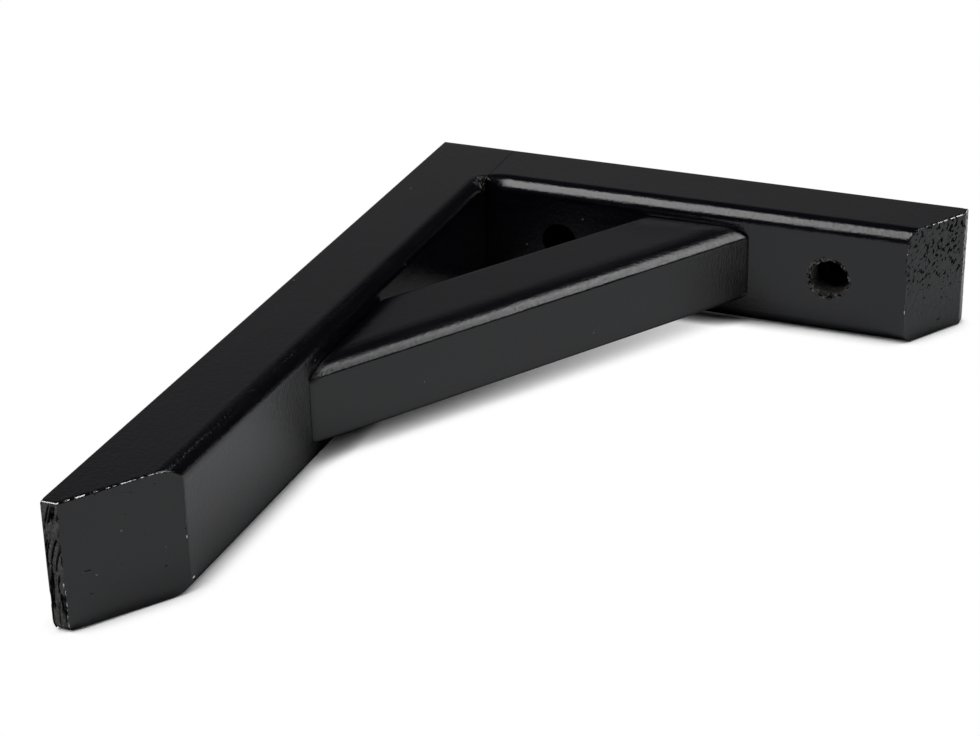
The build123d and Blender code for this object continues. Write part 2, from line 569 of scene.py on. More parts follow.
def brace_skin(timber):
    """The brace's skin.

    Stations run from the arm down to the leg, rows run back from its front and columns run across
    its thickness. Each row starts on the arm's underside, at back / tan(angle), and ends on the
    leg's inner face, at (reach - depth - back * sin(angle)) / cos(angle).
    """
    width = timber.brace_width
    side_reach = timber.brace_top_roundover
    back_easing = timber.brace_back_easing
    rows = in_order(
        arc_steps(side_reach, 16),
        steps(side_reach, width - back_easing, 0.7 * MM),
        width - arc_steps(back_easing, 4),
    )
    columns = np.linspace(-1, 1, 25)
    start = rows / tan(BRACE_ANGLE)
    end = (BRACE_REACH - DEPTH - rows * sin(BRACE_ANGLE)) / cos(BRACE_ANGLE)
    easing = arc_steps(timber.brace_end_easing, 3)
    first = start + easing[:, None] / sin(BRACE_ANGLE)
    last = end - easing[::-1][:, None] / cos(BRACE_ANGLE)
    body = blends(151, first[-1], last[0])[:-1]
    along = np.concatenate((first, body, last))
    back = np.broadcast_to(rows, along.shape)
    x, z = brace_place(along, back)
    end_distance = np.maximum(np.minimum(-DEPTH - z, x - DEPTH), 0)
    shrink = fall(end_distance, timber.brace_end_easing)
    half = (
        BRACE_HALF_THICKNESS
        - fall(back, side_reach, timber.brace_front_roundover)
        - fall(width - back, back_easing)
        - shrink
    )
    middle = width / 2
    squeezed = middle + (back - middle) * (1 - 2 * shrink / width)
    x = x + (back - squeezed) * sin(BRACE_ANGLE)
    z = z - (back - squeezed) * cos(BRACE_ANGLE)
    lean = timber.brace_lean * along / last.max() - timber.brace_sag
    y = half[..., None] * columns + lean[..., None]
    return closed_block(across_block(x, y, z))


def edge_nearness(distances, reach):
    """1 on an edge, where the two least distances are zero, and 0 beyond the reach of it."""
    ordered = np.sort(np.stack(distances, axis=-1), axis=-1)
    return 1 - smooth(ordered[..., 1], 0, reach)


def along_chips(run, spans):
    """1 where a run along an edge, in metres, is within one of the spans, given in millimetres."""
    spans = np.array(spans) * MM
    fade = 0.22 * MM
    inside = smooth(run[:, None], spans[:, 0] - fade, spans[:, 0] + fade)
    return (inside * (1 - smooth(run[:, None], spans[:, 1] - fade, spans[:, 1] + fade))).max(axis=1)


def near_top(y):
    """1 along the upper side's edges, and 0 from a little below it."""
    return smooth(y, HALF_THICKNESS - 0.9 * MM, HALF_THICKNESS - 0.3 * MM)


def torn_tip(points):
    """How deep the arm's tip flat is torn, and how much of each point is raised fibre.

    Strands run down the flat and lean over in its upper half: a strand keeps
    z + slope * (y + sqrt(y^2 + bend^2)). Splits between them are deep, short breaks step their
    outline, and crumbs roughen them all.
    """
    slope, bend = 0.16, 3 * MM
    x, y, z = points.T
    strand = np.stack((x, y, z + slope * (y + np.sqrt(y * y + bend * bend))), axis=-1)
    ridges = 0.5 + 0.5 * lattice_noise(strand, (9, 5, 0.36), 3)
    splits = smooth(lattice_noise(strand, (9, 3.8, 0.30), 5), 0.05, 0.32)
    breaks = smooth(lattice_noise(strand, (9, 2.1, 1.1), 41), 0.1, 0.3)
    crumbs = 0.5 + 0.5 * lattice_noise(points, (9, 0.42, 0.30), 7)
    depth = (0.30 * breaks + 0.08 * (1 - ridges) + 0.40 * splits + 0.14 * crumbs**2) * MM
    raised = (0.10 + 0.90 * (ridges * (1 - crumbs)) ** 1.5) * (1 - splits)
    return depth, raised


def dressed_arm(points, normals, timber):
    """How far the arm's skin is worn in at each point, and its wear attributes.

    The tip flat is torn into fibres, and its corner on the table is rubbed round. Paint is chipped
    off the upper edge of both cuts in short runs, measured from the tip flat, and crumbles in the
    inner corner. The deepest splits of the tip, and the crumbled corner between its pale specks,
    are painted shade: near black and nearly without shine.
    """
    x, y, z = points.T
    end = arm_end_distance(x, z, timber)
    side = side_distance(x, y, z, timber.arm_under_roundover, timber)
    tip = smooth(normals[:, 0], 0.90, 0.98) * smooth(x, ARM_LENGTH - 1 * MM, ARM_LENGTH)
    depth, raised = torn_tip(points)
    upper_rim = smooth(HALF_THICKNESS - y, 0.2 * MM, 1.6 * MM)
    at_tip = smooth(x, ARM_LENGTH - 3 * MM, ARM_LENGTH)
    rubbed = fall(y + HALF_THICKNESS, 2.4 * MM, 1.3 * MM) * at_tip
    near_edge = edge_nearness((end, side, -z, z + DEPTH), 0.55 * MM) * (end < 1.2 * MM)
    upper = near_top(y)
    run = (-z - timber.arm_tip_flat) / sin(timber.arm_tip_angle)
    spans = (
        (-7, 1.0), (2.1, 3.0), (3.7, 6.0), (8.0, 8.8), (9.3, 9.6), (10.3, 11.0), (11.6, 12.3),
        (13.0, 16.5), (16.9, 18.2), (18.6, 22.3), (22.9, 23.8),
    )
    ragged = lattice_noise(points, (0.7, 0.7, 0.7), 11)
    chipped = near_edge * upper * along_chips(run + 0.18 * MM * ragged, spans)
    nicks = lattice_noise(points, (1.0, 1.6, 1.0), 12)
    chipped = np.maximum(chipped, near_edge * smooth(nicks, 0.42, 0.62) * (1 - upper))
    border = 1 - smooth(abs(z + timber.arm_tip_flat), 0.15 * MM, 0.6 * MM)
    border = border * (end < 0.3 * MM) * (1 - smooth(y, -4 * MM, -1 * MM))
    flecks = lattice_noise(points, (0.9, 0.7, 0.4), 59)
    chipped = np.maximum(chipped, 0.9 * border * smooth(flecks, 0.1, 0.35))
    corner = np.array((DEPTH + 1.1 * MM, HALF_THICKNESS - 1.2 * MM, -DEPTH + 0.6 * MM))
    crumbly = 1 - smooth(np.linalg.norm(points - corner, axis=1), 1.2 * MM, 2.2 * MM)
    grit = smooth(lattice_noise(points, (0.34, 0.34, 0.34), 53), 0.22, 0.42)
    wander = 0.5 + 0.5 * lattice_noise(points, (38, 9, 9), 17)
    worn = tip * depth * (0.25 + 0.75 * upper_rim) + rubbed + CHIP_DEPTH * chipped
    worn = worn + 0.25 * MM * crumbly * (1 - grit) + WANDER_DEPTH * wander
    # Painted shade: the deepest splits, and the crumbled corner between its specks, go dark
    split_shade = tip * upper_rim * smooth(depth, 0.34 * MM, 0.52 * MM)
    return worn, {
        "torn": np.maximum(0.75 * tip * raised, crumbly * grit),
        "painted_hollow_shade": np.maximum(split_shade, crumbly * (1 - grit)),
        "chipped": chipped,
        "end_grain": 1 - smooth(end, 0, 0.5 * MM),
    }


def dressed_leg(points, timber, screws):
    """How far the leg's skin is worn in at each point, and its wear attributes.

    Each drilled recess is painted dark inside as shade: all of the upper one, and the floor and
    bore of the lower one. The lower one has a ragged ring of lifted fibres at its rim, wider up the
    leg, with pits in it painted dark as shade, and the torn wood of its wall is painted paler up
    the leg, as painted light. Paint is chipped off the upper edge of the sawn end, and off the
    edges on both sides of it.
    """
    x, y, z = points.T
    end = leg_end_distance(x, z, timber)
    side = side_distance(x, y, z, timber.leg_under_roundover, timber)
    near_edge = edge_nearness((end, side, x, DEPTH - x), 0.6 * MM) * (end < 1.2 * MM)
    ragged = lattice_noise(points, (0.6, 0.6, 0.6), 13)
    run = x / cos(timber.leg_tip_angle) + 0.35 * MM * ragged
    down = HALF_THICKNESS - y + 0.3 * MM * ragged
    upper_spans = (
        (0.2, 3.6), (4.4, 6.6), (7.0, 8.6), (9.2, 10.6), (11.0, 12.6), (13.2, 14.4), (15.6, 16.4),
    )
    outer_spans = ((0, 4.6), (6.0, 6.6), (8.4, 13.0), (14.0, 20.5), (22.0, 22.6))
    inner_spans = ((4.8, 6.2), (9.8, 10.4), (16.5, 17.4), (18.2, 20.6), (23.0, 23.5))
    outer = 1 - smooth(x, 0.3 * MM, 0.9 * MM)
    inner = 0.8 * smooth(x, DEPTH - 0.9 * MM, DEPTH - 0.3 * MM)
    chipped = near_edge * near_top(y) * along_chips(run, upper_spans)
    chipped = np.maximum(chipped, near_edge * outer * along_chips(down, outer_spans))
    chipped = np.maximum(chipped, near_edge * inner * along_chips(down, inner_spans))
    sunk = DEPTH - x
    touch = 0.01 * MM
    # Painted shade: the whole inside of the upper recess
    upper_ring = np.hypot(y, z + screws.lower_drop - screws.spacing) - screws.recess_radius
    upper_recess_shade = (upper_ring < touch) * smooth(sunk, 0.0, 0.5 * MM)
    from_axis = np.hypot(y, z + screws.lower_drop)
    ring = from_axis - screws.recess_radius
    uphill = 0.5 + 0.5 * (z + screws.lower_drop) / np.maximum(from_axis, 1e-9)
    on_face = (ring > -touch) * (1 - smooth(sunk, 0.05 * MM, 0.2 * MM))
    spread = 0.5 + 0.5 * lattice_noise(points, (9, 0.9, 0.9), 19)
    spread = screws.torn_width * (0.25 + 0.45 * uphill + 0.45 * spread)
    inside = (ring < touch) * (sunk > 0)
    lip = inside * (1 - smooth(sunk, 0.5 * MM, 1.3 * MM))
    rough_rim = np.maximum(on_face * (1 - smooth(ring, 0.55 * spread, spread)), lip)
    wall = inside * (1 - smooth(sunk, 4.5 * MM, screws.recess_depth))
    # Painted shade: the floor and bore of the lower recess
    recess_floor_shade = inside * smooth(sunk, 5 * MM, screws.recess_depth)
    tufts = 0.5 + 0.5 * lattice_noise(points, (0.6, 0.34, 0.30), 23)
    fray = smooth(lattice_noise(points, (0.9, 0.36, 0.30), 43), 0.0, 0.35)
    # Pits in the torn ring, worn in and painted dark as shade
    shaded_pits = smooth(lattice_noise(points, (0.9, 0.46, 0.36), 47), -0.08, 0.2)
    shaded_pits = shaded_pits * rough_rim * (1 - fray)
    painted_hollow_shade = np.maximum(np.maximum(upper_recess_shade, shaded_pits), recess_floor_shade)
    # Raw wood of the recess wall, with painted light: paler on the uphill side
    wall_wood_and_painted_light = 0.10 + 0.20 * tufts + uphill**2 * (0.30 + 0.60 * tufts)
    torn = np.maximum(rough_rim * (0.10 + 0.60 * tufts**1.5), wall * wall_wood_and_painted_light) * (1 - painted_hollow_shade)
    wander = 0.5 + 0.5 * lattice_noise(points, (9, 9, 38), 29)
    worn = 0.40 * MM * rough_rim * (1 - fray) * tufts + 0.25 * MM * shaded_pits
    worn = worn + CHIP_DEPTH * chipped + WANDER_DEPTH * wander
    return worn, {
        "torn": np.maximum(torn, 0.9 * rough_rim * fray),
        "painted_hollow_shade": painted_hollow_shade,
        "chipped": chipped,
        "end_grain": 1 - smooth(end, 0, 0.5 * MM),
    }


def dressed_brace(points):
    """How far the brace's skin is worn in at each point, and its wear attributes.

    Glue and torn paint crumble at its front's upper corner on the arm, and at its lower corner on
    the leg. Between their pale specks these corners are painted shade: dark and nearly without
    shine.
    """
    x, y, z = points.T
    back = (BRACE_REACH - x) * sin(BRACE_ANGLE) + (z + DEPTH) * cos(BRACE_ANGLE)
    front = 1 - smooth(back, 0.8 * MM, 2.6 * MM)
    from_top = BRACE_HALF_THICKNESS - y
    from_bottom = BRACE_HALF_THICKNESS + y
    on_arm = 1 - smooth(-DEPTH - z, 0.5 * MM, 1.6 * MM)
    on_leg = 1 - smooth(x - DEPTH, 0.8 * MM, 2.2 * MM)
    on_arm = on_arm * (1 - smooth(from_top, 3 * MM, 5 * MM))
    on_leg = on_leg * (1 - smooth(from_bottom, 3.5 * MM, 5 * MM))
    crumbly = front * np.maximum(on_arm, 0.8 * on_leg)
    grit = smooth(lattice_noise(points, (0.4, 0.4, 0.4), 61), 0.05, 0.35)
    wander = 0.5 + 0.5 * lattice_noise(points, (14, 7, 14), 31)
    none = np.zeros(len(points))
    # Painted shade in the crumbled corners where the brace meets arm and leg
    return WANDER_DEPTH * wander + 0.1 * MM * crumbly * (1 - grit), {
        "torn": 0.6 * crumbly * grit,
        "painted_hollow_shade": 0.7 * crumbly * (1 - grit),
        "chipped": none,
        "end_grain": none,
    }


def feed(tree, value, socket):
    """Link an input to an output, or set it to a plain value or to an opaque colour."""
    if isinstance(value, bpy.types.NodeSocket):
        tree.links.new(value, socket)
    elif socket.type == "RGBA":
        socket.default_value = (*value, 1.0)
    else:
        socket.default_value = value


def node(tree, kind, inputs=None, **settings):
    """A new node of a tree, with its settings and what feeds its inputs."""
    made = tree.nodes.new(kind)
    for key, value in settings.items():
        setattr(made, key, value)
    for key, value in (inputs or {}).items():
        feed(tree, value, made.inputs[key])
    return made


def sums(tree, operation, first, second=0.0, third=0.0, clamp=False):
    """The output of a Math node."""
    inputs = {0: first, 1: second, 2: third}
    return node(tree, "ShaderNodeMath", inputs, operation=operation, use_clamp=clamp).outputs[0]


def climb(tree, value, low, high):
    """A Map Range output that climbs smoothly from 0 at low to 1 at high."""
    inputs = {"Value": value, "From Min": low, "From Max": high}
    made = node(tree, "ShaderNodeMapRange", inputs, interpolation_type="SMOOTHSTEP")
    return made.outputs["Result"]


def mixed(tree, share, first, second):
    """A blend of two colours by a share."""
    made = node(tree, "ShaderNodeMix", {"Factor": share}, data_type="RGBA")
    colours = [socket for socket in made.inputs if socket.type == "RGBA"]
    for socket, value in zip(colours, (first, second)):
        feed(tree, value, socket)
    return [socket for socket in made.outputs if socket.type == "RGBA"][0]


def stretched(tree, vector, by):
    """A vector multiplied along each axis."""
    made = node(tree, "ShaderNodeVectorMath", {0: vector, 1: by}, operation="MULTIPLY")
    return made.outputs[0]


def noise(tree, vector, scale, detail=2.0, roughness=0.5, distortion=0.0):
    """The Factor of a Noise Texture."""
    inputs = {
        "Vector": vector,
        "Scale": scale,
        "Detail": detail,
        "Roughness": roughness,
        "Distortion": distortion,
    }
    return node(tree, "ShaderNodeTexNoise", inputs).outputs[0]


def bumped(tree, height):
    """The output of a Bump node, for a height in units of 0.05 mm."""
    inputs = {"Height": height, "Distance": 0.05 * MM, "Strength": 1.0}
    return node(tree, "ShaderNodeBump", inputs).outputs[0]


def new_group(name, inputs, outputs):
    """An empty shader node group with its sockets, and its input and output nodes."""
    tree = bpy.data.node_groups.new(name, "ShaderNodeTree")
    for label, kind in inputs:
        tree.interface.new_socket(name=label, in_out="INPUT", socket_type=kind)
    for label in outputs:
        tree.interface.new_socket(name=label, in_out="OUTPUT", socket_type="NodeSocketFloat")
    return tree, tree.nodes.new("NodeGroupInput"), tree.nodes.new("NodeGroupOutput")


def brushed_relief():
    """Group: height of brushed paint over planed grain. X of its vector, in mm, runs along it."""
    sockets = [("Vector", "NodeSocketVector")]
    tree, given, result = new_group("Brushed relief", sockets, ("Height", "Streaks"))
    vector = given.outputs["Vector"]
    grain = noise(tree, stretched(tree, vector, (0.05, 1.0, 1.0)), 1.6, 3.0, 0.6)
    chatter = noise(tree, stretched(tree, vector, (1.0, 0.3, 0.3)), 2.4, 2.0, 0.6)
    orange_peel = noise(tree, vector, 1.1, 2.0, 0.5)
    fuzz = noise(tree, stretched(tree, vector, (1.0, 0.5, 0.5)), 4.5, 1.0, 0.5)
    height = sums(tree, "MULTIPLY", grain, 0.50)
    for layer, share in ((chatter, 0.60), (orange_peel, 0.80), (fuzz, 0.70)):
        height = sums(tree, "MULTIPLY_ADD", layer, share, height)
    tree.links.new(height, result.inputs["Height"])
    tree.links.new(climb(tree, grain, 0.35, 0.75), result.inputs["Streaks"])
    return tree


def dust_specks():
    """Group: a mask of small scattered specks. Its vector is in mm."""
    sockets = [("Vector", "NodeSocketVector"), ("Amount", "NodeSocketFloat")]
    tree, given, result = new_group("Dust specks", sockets, ("Mask",))
    vector = given.outputs["Vector"]
    cells = node(tree, "ShaderNodeTexVoronoi", {"Vector": vector, "Scale": 0.42})
    chance = node(tree, "ShaderNodeSeparateColor", {"Color": cells.outputs["Color"]}).outputs[0]
    size = sums(tree, "MULTIPLY_ADD", chance, 0.12, -0.02)
    speck = sums(tree, "LESS_THAN", cells.outputs["Distance"], size)
    rare = sums(tree, "GREATER_THAN", chance, sums(tree, "SUBTRACT", 1.0, given.outputs["Amount"]))
    tree.links.new(sums(tree, "MULTIPLY", speck, rare), result.inputs["Mask"])
    return tree


def end_pores():
    """Group: open pores of sawn end grain, drawn out along X of its vector, which is in mm.

    Its Pores are a mask of short black dashes, more of them where Density is higher, and its
    Relief is the height of the ridges between them.
    """
    sockets = [("Vector", "NodeSocketVector"), ("Density", "NodeSocketFloat")]
    tree, given, result = new_group("End pores", sockets, ("Pores", "Relief"))
    vector = given.outputs["Vector"]
    dashes = noise(tree, stretched(tree, vector, (0.26, 1.0, 1.0)), 1.32, 1.0, 0.5, 0.15)
    patches = noise(tree, vector, 0.30, 1.0)
    threshold = sums(tree, "MULTIPLY_ADD", patches, -0.14, 0.81)
    threshold = sums(tree, "MULTIPLY_ADD", given.outputs["Density"], -0.178, threshold)
    mask = climb(tree, sums(tree, "SUBTRACT", dashes, threshold), 0.0, 0.05)
    ridges = noise(tree, stretched(tree, vector, (0.22, 1.0, 1.0)), 0.85, 2.0, 0.5, 0.2)
    tree.links.new(mask, result.inputs["Pores"])
    tree.links.new(ridges, result.inputs["Relief"])
    return tree


def chipped_paint():
    """Group: where paint is gone, from a wear value broken up by fine noise. Vector in mm."""
    sockets = [("Vector", "NodeSocketVector"), ("Wear", "NodeSocketFloat")]
    tree, given, result = new_group("Chipped paint", sockets, ("Mask",))
    flakes = noise(tree, given.outputs["Vector"], 1.9, 3.0, 0.65)
    worn = sums(tree, "MULTIPLY_ADD", flakes, 0.7, given.outputs["Wear"])
    tree.links.new(climb(tree, worn, 1.0, 1.14), result.inputs["Mask"])
    return tree


def grouped(tree, name, build, **inputs):
    """The outputs of a node of the group with that name, built the first time it is asked for."""
    group = bpy.data.node_groups.get(name) or build()
    return node(tree, "ShaderNodeGroup", inputs, node_tree=group).outputs


def new_material(name):
    """A material, its tree and its shader, and the place on the bracket that it sees."""
    material = bpy.data.materials.new(name)
    material.use_nodes = True
    tree = material.node_tree
    place = node(tree, "ShaderNodeTexCoord").outputs["Object"]
    return material, tree, tree.nodes["Principled BSDF"], place


def paint_material(name, grain_turn, pore_turn, pore_density, gloss, paint):
    """Black paint over timber whose grain is turned about Y, with pores turned on its end.

    The pores thin out towards the side that lies on the table. The open pores of the end grain, and
    the hollows marked on the skin, are painted shade: near black, rough, and with the paint's shine
    cut to a tenth.
    """
    material, tree, shader, place = new_material(name)
    millimetres = (1 / MM,) * 3
    turned = {"Vector": place, "Rotation": (0, grain_turn, 0), "Scale": millimetres}
    along_grain = node(tree, "ShaderNodeMapping", turned).outputs[0]
    on_end = {"Vector": place, "Rotation": pore_turn, "Scale": millimetres}
    pore_vector = node(tree, "ShaderNodeMapping", on_end).outputs[0]
    wear = {}
    for key in ("torn", "painted_hollow_shade", "chipped", "end_grain"):
        wear[key] = node(tree, "ShaderNodeAttribute", attribute_name=key).outputs["Fac"]
    relief = grouped(tree, "Brushed relief", brushed_relief, Vector=along_grain)
    dust = grouped(tree, "Dust specks", dust_specks, Vector=along_grain, Amount=0.05)["Mask"]
    height_up = node(tree, "ShaderNodeSeparateXYZ", {0: place}).outputs["Y"]
    density = sums(tree, "MULTIPLY", climb(tree, height_up, -10 * MM, 5 * MM), pore_density)
    ends = grouped(tree, "End pores", end_pores, Vector=pore_vector, Density=density)
    pores = sums(tree, "MULTIPLY", ends["Pores"], wear["end_grain"])
    ridges = sums(tree, "MULTIPLY", ends["Relief"], wear["end_grain"])
    chips = grouped(
        tree, "Chipped paint", chipped_paint, Vector=along_grain, Wear=wear["chipped"]
    )["Mask"]
    fibres = noise(tree, stretched(tree, along_grain, (1.0, 0.40, 1.0)), 2.6, 4.0, 0.78)
    torn = sums(tree, "MULTIPLY", wear["torn"], climb(tree, fibres, 0.40, 0.66))
    thin = sums(tree, "MULTIPLY", relief["Streaks"], 0.35)
    dusty = sums(tree, "MULTIPLY", dust, 0.35)
    # Painted shade: pores and hollows go near black, rough and almost without shine
    dark = sums(tree, "MAXIMUM", pores, wear["painted_hollow_shade"])
    base = mixed(tree, thin, paint.paint_colour, paint.thin_colour)
    for share, over in (
        (torn, paint.torn_colour),
        (dark, paint.pore_and_shade_colour),
        (dusty, paint.dust_colour),
        (chips, paint.chip_colour),
    ):
        base = mixed(tree, share, base, over)
    rough = sums(tree, "MULTIPLY_ADD", relief["Streaks"], 0.06, gloss)
    bare = sums(tree, "MAXIMUM", sums(tree, "MAXIMUM", wear["torn"], chips), dark)
    rough = sums(tree, "MULTIPLY_ADD", bare, 0.7, rough, clamp=True)
    height = relief["Height"]
    for mask, rise in ((pores, -4.5), (ridges, 3.2 * pore_density), (torn, 4.0)):
        height = sums(tree, "MULTIPLY_ADD", mask, rise, height)
    feed(tree, base, shader.inputs["Base Color"])
    feed(tree, rough, shader.inputs["Roughness"])
    # Painted shade: the paint's shine falls to a tenth in pores and hollows
    shine = sums(tree, "MULTIPLY_ADD", dark, -0.45, 0.5)
    feed(tree, shine, shader.inputs["Specular IOR Level"])
    feed(tree, bumped(tree, height), shader.inputs["Normal"])
    return material


def beech_material(paint):
    """Bare beech of the hidden dowels: fine flecks and a slow change of tone along the grain."""
    material, tree, shader, place = new_material("Beech")
    vector = stretched(tree, place, (1 / MM,) * 3)
    tone = noise(tree, stretched(tree, vector, (0.8, 0.8, 0.12)), 1.4, 3.0, 0.6)
    dark = [0.62 * value for value in paint.dowel_colour]
    feed(tree, mixed(tree, tone, dark, paint.dowel_colour), shader.inputs["Base Color"])
    feed(tree, bumped(tree, tone), shader.inputs["Normal"])
    feed(tree, 0.62, shader.inputs["Roughness"])
    return material


def finished_piece(name, points, quads, dress, material):
    """A piece from its skin: worn in along its normals, painted, and standing for its node."""
    quads = facing_out(points, quads)
    normals = normals_of(points, quads)
    depth, attributes = dress(points, normals)
    piece = mesh_object(name, points - normals * depth[:, None], quads, attributes)
    piece.data.materials.append(material)
    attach(piece, "root")
    return piece


class BRACKET_OT_shelf_arm(bpy.types.Operator):
    """Make the shelf arm, with its torn tip and chipped end"""

    bl_idname = "bracket.shelf_arm"
    bl_label = "Shelf arm"

    def execute(self, context):
        timber = context.scene.bracket_timber
        paint = context.scene.bracket_paint
        slant = (0, timber.arm_tip_angle, 0)
        material = paint_material("Arm paint", 0.0, slant, 0.05, paint.gloss, paint)
        points, quads = arm_skin(timber)
        piece = finished_piece(
            "arm_timber", points, quads, lambda p, n: dressed_arm(p, n, timber), material
        )
        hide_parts("shelf_arm")
        return {"FINISHED"}


class BRACKET_OT_wall_leg(bpy.types.Operator):
    """Make the wall leg, with its drilled screw holes and open end grain"""

    bl_idname = "bracket.wall_leg"
    bl_label = "Wall leg"

    def execute(self, context):
        timber = context.scene.bracket_timber
        screws = context.scene.bracket_screws
        paint = context.scene.bracket_paint
        pore_turn = (radians(55), 0, radians(90))
        material = paint_material("Leg paint", pi / 2, pore_turn, 1.0, paint.gloss, paint)
        points, quads = leg_skin(timber, screws)
        piece = finished_piece(
            "leg_timber", points, quads, lambda p, n: dressed_leg(p, timber, screws), material
        )
        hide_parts("wall_leg")
        return {"FINISHED"}


class BRACKET_OT_brace(bpy.types.Operator):
    """Make the diagonal brace, with its broad front roundover"""

    bl_idname = "bracket.brace"
    bl_label = "Brace"

    def execute(self, context):
        timber = context.scene.bracket_timber
        paint = context.scene.bracket_paint
        gloss = paint.brace_gloss
        material = paint_material("Brace paint", BRACE_ANGLE, (0, 0, 0), 0.0, gloss, paint)
        points, quads = brace_skin(timber)
        piece = finished_piece(
            "brace_timber", points, quads, lambda p, n: dressed_brace(p), material
        )
        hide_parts("brace")
        return {"FINISHED"}


class BRACKET_OT_dowels(bpy.types.Operator):
    """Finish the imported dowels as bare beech"""

    bl_idname = "bracket.dowels"
    bl_label = "Dowels"

    def execute(self, context):
        material = beech_material(context.scene.bracket_paint)
        for name in ("corner_dowels", "brace_dowels"):
            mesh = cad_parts[name].data
            mesh.materials.clear()
            mesh.materials.append(material)
        return {"FINISHED"}


def sky_share(tree, reach):
    """How much of the sky a point sees past what stands within reach of it."""
    inputs = {"Distance": reach}
    return node(tree, "ShaderNodeAmbientOcclusion", inputs, samples=8).outputs["AO"]


def mirrored_rays(tree, path):
    """1 for rays that left a glossy or a clear face."""
    rays = path.outputs["Is Glossy Ray"], path.outputs["Is Transmission Ray"]
    return sums(tree, "MAXIMUM", *rays)


def table_material(studio):
    """White table top that keeps its shadows.

    The camera sees it as plain white, apart from the part near the bracket, where its own shading
    shows. The paint's gloss sees it in a greyer colour, and with painted shade close to the bracket
    and between its pieces.
    It is clear to the camera from behind, and to light that leaves the face lying on it, so that
    views from under the table show that face lit.
    """
    # Shares of the open sky at which each shading has its full depth, and where it ends
    shadow_range = (0.37, 0.87)
    contact_range = (0.30, 0.90)
    gloom_range = (0.36, 0.66)
    material = bpy.data.materials.new("Table")
    material.use_nodes = True
    tree = material.node_tree
    tree.nodes.clear()
    output = node(tree, "ShaderNodeOutputMaterial")
    path = node(tree, "ShaderNodeLightPath")
    behind = node(tree, "ShaderNodeNewGeometry").outputs["Backfacing"]
    camera = path.outputs["Is Camera Ray"]
    mirrored_glow = 0.08
    seen = sums(tree, "MULTIPLY_ADD", mirrored_rays(tree, path), mirrored_glow, camera)
    open_sky = sky_share(tree, studio.shadow_reach)
    glow_share = sums(tree, "MULTIPLY", seen, climb(tree, open_sky, *shadow_range))
    # Painted shade for the gloss: the table darkens near the bracket and between its pieces
    wide_sky = climb(tree, sky_share(tree, studio.gloom_reach), *gloom_range)
    lit = sums(tree, "MULTIPLY", climb(tree, open_sky, *contact_range), wide_sky)
    painted_gloom = (0.01, 0.01, 0.01)
    mirrored_colour = mixed(tree, lit, painted_gloom, studio.shaded_mirrored_table)
    glossy = path.outputs["Is Glossy Ray"]
    top_colour = mixed(tree, glossy, studio.table_colour, mirrored_colour)
    white = node(tree, "ShaderNodeBsdfDiffuse", {"Color": top_colour}).outputs[0]
    glow = node(tree, "ShaderNodeEmission", {"Strength": 1.0}).outputs[0]
    top = node(tree, "ShaderNodeMixShader", {0: glow_share, 1: white, 2: glow}).outputs[0]
    short = sums(tree, "LESS_THAN", path.outputs["Ray Length"], 8 * studio.table_gap)
    touching = sums(tree, "MULTIPLY", short, sums(tree, "SUBTRACT", 1.0, camera))
    clear = sums(tree, "MAXIMUM", behind, touching)
    through = node(tree, "ShaderNodeBsdfTransparent").outputs[0]
    surface = node(tree, "ShaderNodeMixShader", {0: clear, 1: top, 2: through}).outputs[0]
    tree.links.new(surface, output.inputs["Surface"])
    return material


def make_table(studio):
    """A square table top, square to Y, just under the side that the bracket lies on."""
    half = 3.0
    level = -HALF_THICKNESS - studio.table_gap
    corners = [
        (-half, level, -half), (-half, level, half), (half, level, half), (half, level, -half)
    ]
    mesh = bpy.data.meshes.new("table")
    mesh.from_pydata(corners, [], [(0, 1, 2, 3)])
    mesh.materials.append(table_material(studio))
    table = bpy.data.objects.new("table", mesh)
    bpy.context.scene.collection.objects.link(table)


def make_lamp(name, radiance):
    """A rectangular lamp that stands in its direction from the bracket and faces it.

    Its width runs along the part of the across direction that is square to its own. Its power is
    its radiance times its area times pi.
    """
    distance = 2.0
    target = Vector((0.09, 0.0, -0.05))
    towards, across, width, height = LAMPS[name]
    back = Vector(towards).normalized()
    side = Vector(across)
    side = (side - back * side.dot(back)).normalized()
    up = back.cross(side)
    light = bpy.data.lights.new(name, "AREA")
    light.shape = "RECTANGLE"
    light.size = width
    light.size_y = height
    light.energy = radiance * width * height * pi
    lamp = bpy.data.objects.new(name, light)
    turn = Matrix((side, up, back)).transposed().to_4x4()
    lamp.matrix_world = Matrix.Translation(target + back * distance) @ turn
    lamp.visible_camera = False
    bpy.context.scene.collection.objects.link(lamp)


def make_world(studio):
    """White to the camera, a dim room to light, and white to the paint's gloss below the table.

    One side of the room is a pale wall, low behind the bracket, which its upper sides mirror.
    """
    world = bpy.data.worlds.new("Room")
    bpy.context.scene.world = world
    world.use_nodes = True
    tree = world.node_tree
    background = tree.nodes["Background"]
    path = node(tree, "ShaderNodeLightPath")
    direction = node(tree, "ShaderNodeTexCoord").outputs["Generated"]
    parts = node(tree, "ShaderNodeSeparateXYZ", {0: direction}).outputs
    below = sums(tree, "LESS_THAN", parts["Y"], 0.0)
    mirrored = sums(tree, "MULTIPLY", mirrored_rays(tree, path), below)
    white = sums(tree, "MAXIMUM", path.outputs["Is Camera Ray"], mirrored)
    wall = 1.0
    for axis, start, full in (("Z", 0.0, 0.2), ("Y", 0.62, 0.48), ("X", 0.2, -0.2)):
        wall = sums(tree, "MULTIPLY", climb(tree, parts[axis], start, full), wall)
    room = sums(tree, "MULTIPLY_ADD", wall, studio.wall_brightness, studio.room_brightness)
    strength = sums(tree, "MAXIMUM", white, room)
    feed(tree, strength, background.inputs["Strength"])
    feed(tree, (1, 1, 1), background.inputs["Color"])


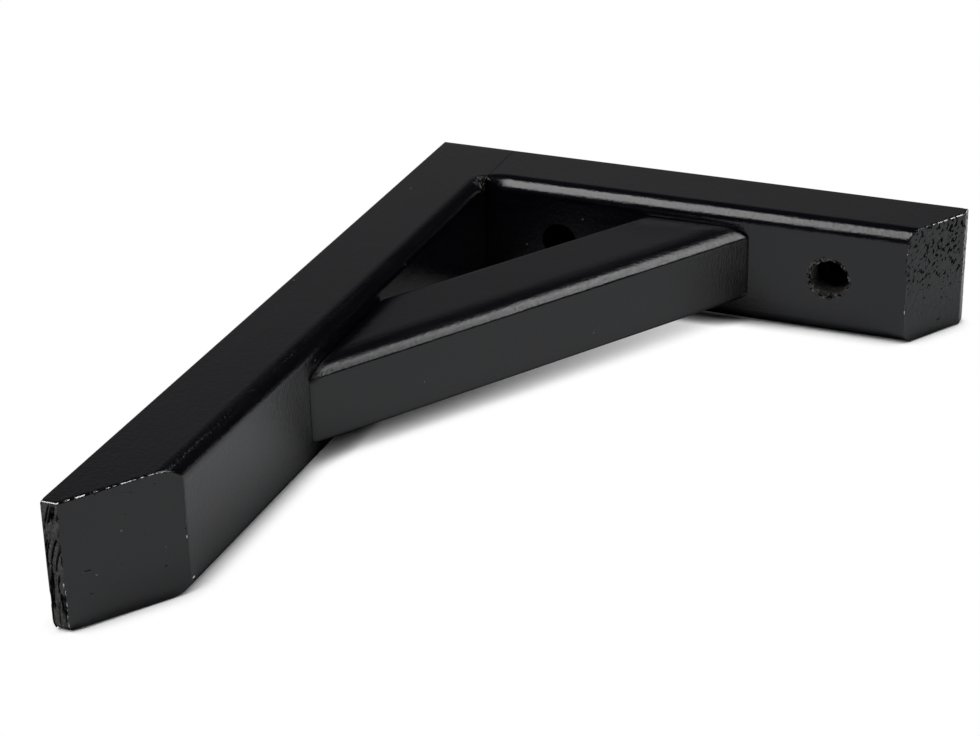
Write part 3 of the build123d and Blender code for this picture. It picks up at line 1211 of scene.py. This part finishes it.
def make_camera():
    """The photograph's camera: a long lens from above the arm's tip, fitted to the corners."""
    place = Vector((0.54634, 0.24314, -0.23570))
    right = Vector((-0.371856, -0.019143, -0.928093))
    forward = Vector((-0.830307, -0.440218, 0.341756))
    up = right.cross(forward)
    data = bpy.data.cameras.new("Camera")
    data.sensor_width = 36.0
    data.lens = 94.59
    data.clip_start = 0.01
    camera = bpy.data.objects.new("Camera", data)
    turn = Matrix((right, up, -forward)).transposed().to_4x4()
    camera.matrix_world = Matrix.Translation(place) @ turn
    bpy.context.scene.collection.objects.link(camera)
    bpy.context.scene.camera = camera


class BRACKET_OT_stage(bpy.types.Operator):
    """Lay the table and set the lamps, the room and the camera"""

    bl_idname = "bracket.stage"
    bl_label = "Stage"

    def execute(self, context):
        studio = context.scene.bracket_studio
        make_camera()
        make_table(studio)
        make_world(studio)
        make_lamp("Panel", studio.panel_radiance)
        make_lamp("Strip", studio.strip_radiance)
        make_lamp("Below", studio.below_radiance)
        context.scene.view_settings.view_transform = "Standard"
        return {"FINISHED"}


class BRACKET_PT_panel(bpy.types.Panel):
    """Buttons for the bracket's pieces and stage, and their sizes and colours"""

    bl_idname = "BRACKET_PT_panel"
    bl_label = "Gallows bracket"
    bl_space_type = "VIEW_3D"
    bl_region_type = "UI"
    bl_category = "Bracket"

    def draw(self, context):
        for operator in OPERATORS:
            self.layout.operator(operator.bl_idname)
        for key, group in PROPERTY_GROUPS.items():
            box = self.layout.box()
            for name in group.__annotations__:
                box.prop(getattr(context.scene, key), name)


PROPERTY_GROUPS = {
    "bracket_timber": BracketTimber,
    "bracket_screws": BracketScrews,
    "bracket_paint": BracketPaint,
    "bracket_studio": BracketStudio,
}
OPERATORS = (
    BRACKET_OT_stage,
    BRACKET_OT_shelf_arm,
    BRACKET_OT_wall_leg,
    BRACKET_OT_brace,
    BRACKET_OT_dowels,
)


def register():
    """Register the classes and hang the property groups on the scene."""
    for group in PROPERTY_GROUPS.values():
        bpy.utils.register_class(group)
    for key, group in PROPERTY_GROUPS.items():
        setattr(bpy.types.Scene, key, PointerProperty(type=group))
    for operator in OPERATORS:
        bpy.utils.register_class(operator)
    bpy.utils.register_class(BRACKET_PT_panel)


def unregister():
    """Take away all that register added."""
    bpy.utils.unregister_class(BRACKET_PT_panel)
    for operator in reversed(OPERATORS):
        bpy.utils.unregister_class(operator)
    for key in PROPERTY_GROUPS:
        delattr(bpy.types.Scene, key)
    for group in reversed(PROPERTY_GROUPS.values()):
        bpy.utils.unregister_class(group)


def main():
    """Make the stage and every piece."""
    register()
    bpy.ops.bracket.stage()
    bpy.ops.bracket.shelf_arm()
    bpy.ops.bracket.wall_leg()
    bpy.ops.bracket.brace()
    bpy.ops.bracket.dowels()


if __name__ == "__main__":
    main()
